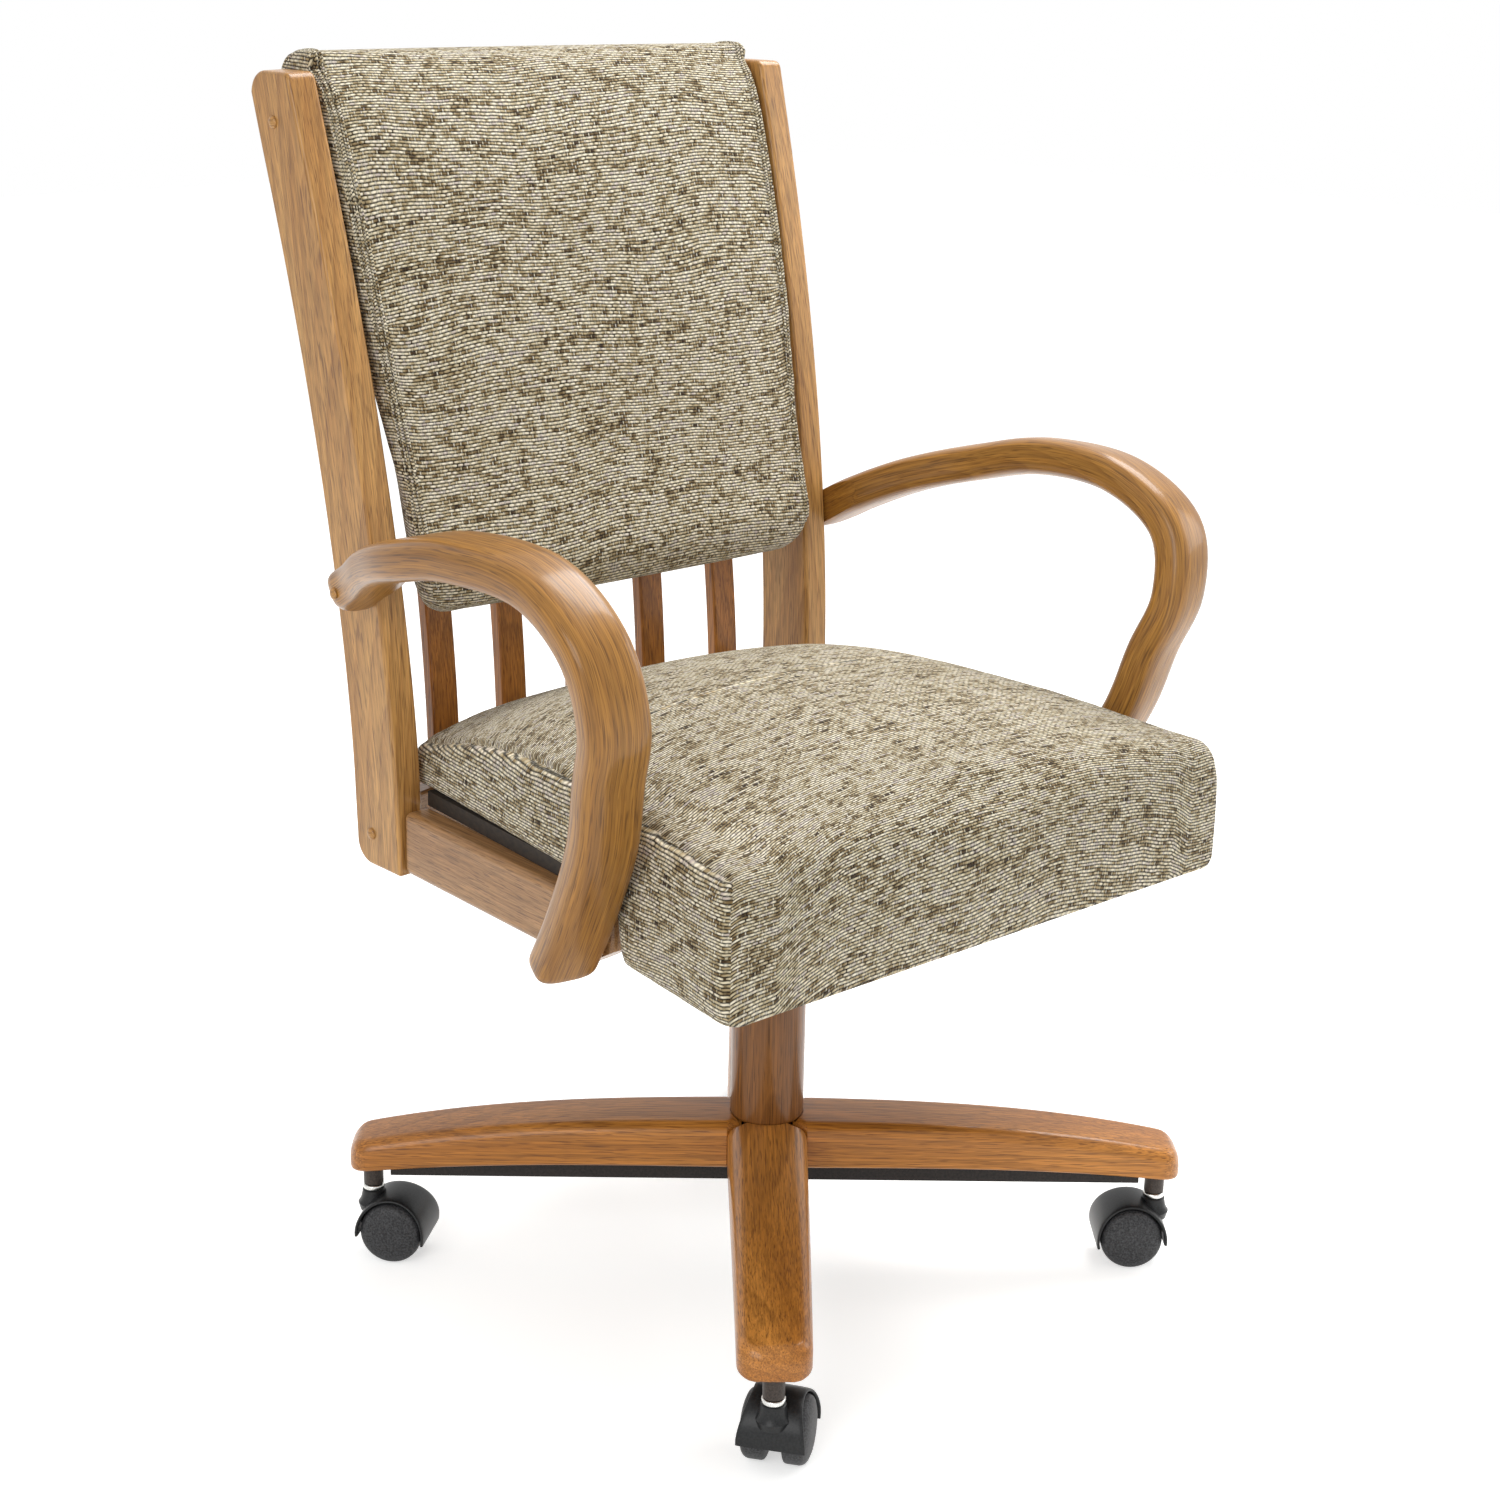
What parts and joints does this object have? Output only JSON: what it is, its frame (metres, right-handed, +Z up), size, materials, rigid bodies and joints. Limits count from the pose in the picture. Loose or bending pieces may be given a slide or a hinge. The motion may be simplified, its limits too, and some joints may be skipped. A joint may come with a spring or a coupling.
{
  "type": "swivel armchair",
  "caption": "Swivel and tilt desk armchair of oak-stained wood: slatted back, bentwood arms, tweed seat and back pads, cross base on twin-wheel casters.",
  "frame": {"origin": "on the floor under the middle of the chair's plan, 42.8 mm behind the column's axis", "axes": "+Z up; the sitter faces -Y; +X is the sitter's left"},
  "size_m": [0.6404, 0.6172, 0.9465],
  "materials": {
    "oak": "satin lacquered medium oak stain",
    "plywood": "raw",
    "black_steel": "black satin powder coat",
    "zinc": "bright zinc plate",
    "black_plastic": "fine grained nylon",
    "fabric": "flecked tweed weave"
  },
  "bodies": {
    "base": {"leg_1": "oak", "leg_2": "oak", "leg_3": "oak", "leg_4": "oak", "base_frame": "black_steel", "column_sleeve": "oak", "column_bushing": "black_plastic", "caster_1_socket": "black_steel", "caster_2_socket": "black_steel", "caster_3_socket": "black_steel", "caster_4_socket": "black_steel"},
    "swivel": {"tilt_bracket": "black_steel", "pivot_axle": "zinc", "tension_spring": "zinc"},
    "seat": {"seat_plate": "black_steel", "seat_board": "plywood", "seat_cushion": "fabric", "side_rail_left": "oak", "side_rail_right": "oak", "rear_rail": "oak", "back_post_left": "oak", "back_post_right": "oak", "top_rail": "oak", "back_pad": "fabric", "arm_left": "oak", "arm_right": "oak", "slat_1": "oak", "slat_2": "oak", "slat_3": "oak", "slat_4": "oak", "slat_5": "oak", "plug_top_right": "oak", "plug_foot_right": "oak", "plug_top_left": "oak", "plug_foot_left": "oak", "plug_arm_right": "oak", "plug_arm_left": "oak"},
    "bolt": {"tension_bolt": "zinc", "spring_cup": "zinc"},
    "knob": {"tension_knob": "black_plastic"},
    "caster_1": {"caster_1_stem": "zinc", "caster_1_hood": "black_plastic", "caster_1_axle": "zinc"},
    "wheel_1a": {"caster_1_wheel_a": "black_plastic"},
    "wheel_1b": {"caster_1_wheel_b": "black_plastic"},
    "caster_2": {"caster_2_stem": "zinc", "caster_2_hood": "black_plastic", "caster_2_axle": "zinc"},
    "wheel_2a": {"caster_2_wheel_a": "black_plastic"},
    "wheel_2b": {"caster_2_wheel_b": "black_plastic"},
    "caster_3": {"caster_3_stem": "zinc", "caster_3_hood": "black_plastic", "caster_3_axle": "zinc"},
    "wheel_3a": {"caster_3_wheel_a": "black_plastic"},
    "wheel_3b": {"caster_3_wheel_b": "black_plastic"},
    "caster_4": {"caster_4_stem": "zinc", "caster_4_hood": "black_plastic", "caster_4_axle": "zinc"},
    "wheel_4a": {"caster_4_wheel_a": "black_plastic"},
    "wheel_4b": {"caster_4_wheel_b": "black_plastic"}
  },
  "joints": [
    {"name": "seat_swivel", "type": "hinge", "parent": "base", "child": "swivel", "pos_m": [0, -0.0428, 0.3], "axis": [0, 0, 1], "continuous": true},
    {"name": "seat_tilt", "type": "hinge", "parent": "swivel", "child": "seat", "pos_m": [0, -0.0228, 0.352], "axis": [-1, 0, 0], "range_deg": [0, 12], "stiffness_Nm_per_rad": 120, "springref_deg": -11.46, "deforming": ["tension_spring"]},
    {"name": "bolt_hang", "type": "hinge", "parent": "seat", "child": "bolt", "pos_m": [0, -0.0908, 0.352], "axis": [-1, 0, 0], "range_deg": [-12, 0]},
    {"name": "knob_turn", "type": "hinge", "parent": "bolt", "child": "knob", "pos_m": [0, -0.0908, 0.265], "axis": [0, 0, 1], "continuous": true},
    {"name": "caster_1_swivel", "type": "hinge", "parent": "base", "child": "caster_1", "pos_m": [0.2095, 0.19736, 0.0597], "axis": [0, 0, 1], "continuous": true},
    {"name": "wheel_1a_spin", "type": "hinge", "parent": "caster_1", "child": "wheel_1a", "pos_m": [0.19913, 0.18144, 0.02489], "axis": [-0.8377, 0.5461, 0], "continuous": true},
    {"name": "wheel_1b_spin", "type": "hinge", "parent": "caster_1", "child": "wheel_1b", "pos_m": [0.19913, 0.18144, 0.02489], "axis": [-0.8377, 0.5461, 0], "continuous": true},
    {"name": "caster_2_swivel", "type": "hinge", "parent": "base", "child": "caster_2", "pos_m": [-0.24016, 0.1667, 0.0597], "axis": [0, 0, 1], "continuous": true},
    {"name": "wheel_2a_spin", "type": "hinge", "parent": "caster_2", "child": "wheel_2a", "pos_m": [-0.22823, 0.15192, 0.02489], "axis": [-0.7782, -0.628, 0], "continuous": true},
    {"name": "wheel_2b_spin", "type": "hinge", "parent": "caster_2", "child": "wheel_2b", "pos_m": [-0.22823, 0.15192, 0.02489], "axis": [-0.7782, -0.628, 0], "continuous": true},
    {"name": "caster_3_swivel", "type": "hinge", "parent": "base", "child": "caster_3", "pos_m": [-0.2095, -0.28296, 0.0597], "axis": [0, 0, 1], "continuous": true},
    {"name": "wheel_3a_spin", "type": "hinge", "parent": "caster_3", "child": "wheel_3a", "pos_m": [-0.19392, -0.27209, 0.02489], "axis": [0.5721, -0.8202, 0], "continuous": true},
    {"name": "wheel_3b_spin", "type": "hinge", "parent": "caster_3", "child": "wheel_3b", "pos_m": [-0.19392, -0.27209, 0.02489], "axis": [0.5721, -0.8202, 0], "continuous": true},
    {"name": "caster_4_swivel", "type": "hinge", "parent": "base", "child": "caster_4", "pos_m": [0.24016, -0.25231, 0.0597], "axis": [0, 0, 1], "continuous": true},
    {"name": "wheel_4a_spin", "type": "hinge", "parent": "caster_4", "child": "wheel_4a", "pos_m": [0.22584, -0.23982, 0.02489], "axis": [0.6574, 0.7536, 0], "continuous": true},
    {"name": "wheel_4b_spin", "type": "hinge", "parent": "caster_4", "child": "wheel_4b", "pos_m": [0.22584, -0.23982, 0.02489], "axis": [0.6574, 0.7536, 0], "continuous": true}
  ],
  "couplings": [
    {"joint": "bolt_hang", "follows": "seat_tilt", "ratio": -1}
  ]
}
